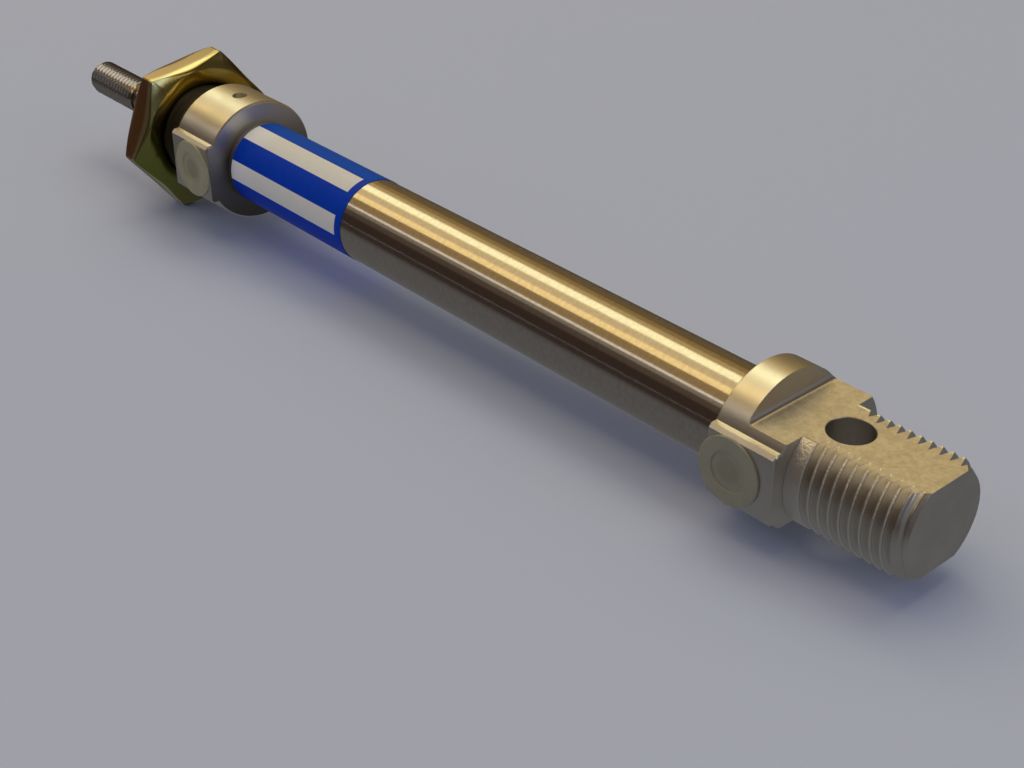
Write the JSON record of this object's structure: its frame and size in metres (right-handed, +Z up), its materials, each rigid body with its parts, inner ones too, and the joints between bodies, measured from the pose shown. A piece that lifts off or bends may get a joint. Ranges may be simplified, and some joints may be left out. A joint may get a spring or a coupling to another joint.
{
  "type": "pneumatic cylinder",
  "caption": "Slim round double-acting air cylinder with a rear eye, threaded noses on both caps, a hex mounting nut and a threaded piston rod.",
  "frame": {"origin": "centre of the pivot bore in the rear eye, on the cylinder's axis", "axes": "+X along the axis towards the rod end, +Y towards the air ports, +Z up along the pivot bore"},
  "size_m": [0.1876, 0.0274, 0.0258],
  "materials": {
    "cap_aluminium": "satin, machined",
    "barrel_steel": "drawn stainless tube, polished lengthwise",
    "label_film": "printed film",
    "seal_rubber": "matt",
    "bush_bronze": "sintered",
    "rod_steel": "ground and polished",
    "piston_aluminium": "turned",
    "magnet": "matt, plastic-bonded",
    "band_plastic": "matt",
    "nut_zinc": "yellow passivated zinc",
    "plug_plastic": "translucent moulded"
  },
  "bodies": {
    "cylinder_body": {"rear_cap": "cap_aluminium", "front_cap": "cap_aluminium", "barrel_tube": "barrel_steel", "label_sleeve": "label_film", "rear_static_ring": "seal_rubber", "front_static_ring": "seal_rubber", "rod_bush": "bush_bronze", "rod_wiper_seal": "seal_rubber", "wiper_retainer": "cap_aluminium"},
    "piston_seals": {"magnet_ring": "magnet", "guide_band": "band_plastic", "rear_lip_seal": "seal_rubber", "front_lip_seal": "seal_rubber"},
    "rod": {"piston_rod": "rod_steel", "piston_rear_half": "piston_aluminium", "piston_front_half": "piston_aluminium", "piston_nut": "rod_steel", "rear_bumper": "seal_rubber", "front_bumper": "seal_rubber"},
    "nut": {"mounting_nut": "nut_zinc"},
    "rear_plug": {"rear_port_plug": "plug_plastic"},
    "front_plug": {"front_port_plug": "plug_plastic"}
  },
  "joints": [
    {"name": "rod_slide", "type": "slide", "parent": "cylinder_body", "child": "piston_seals", "axis": [1, 0, 0], "range_m": [-0.0026, 0.0774]},
    {"name": "rod_turn", "type": "hinge", "parent": "piston_seals", "child": "rod", "pos_m": [0.03, 0, 0], "axis": [1, 0, 0], "continuous": true},
    {"name": "nut_turn", "type": "hinge", "parent": "cylinder_body", "child": "nut", "pos_m": [0.1414, 0, 0], "axis": [1, 0, 0], "continuous": true},
    {"name": "rear_plug_pull", "type": "slide", "parent": "cylinder_body", "child": "rear_plug", "axis": [0, 1, 0], "range_m": [0, 0.006]},
    {"name": "front_plug_pull", "type": "slide", "parent": "cylinder_body", "child": "front_plug", "axis": [0, 1, 0], "range_m": [0, 0.006]}
  ]
}
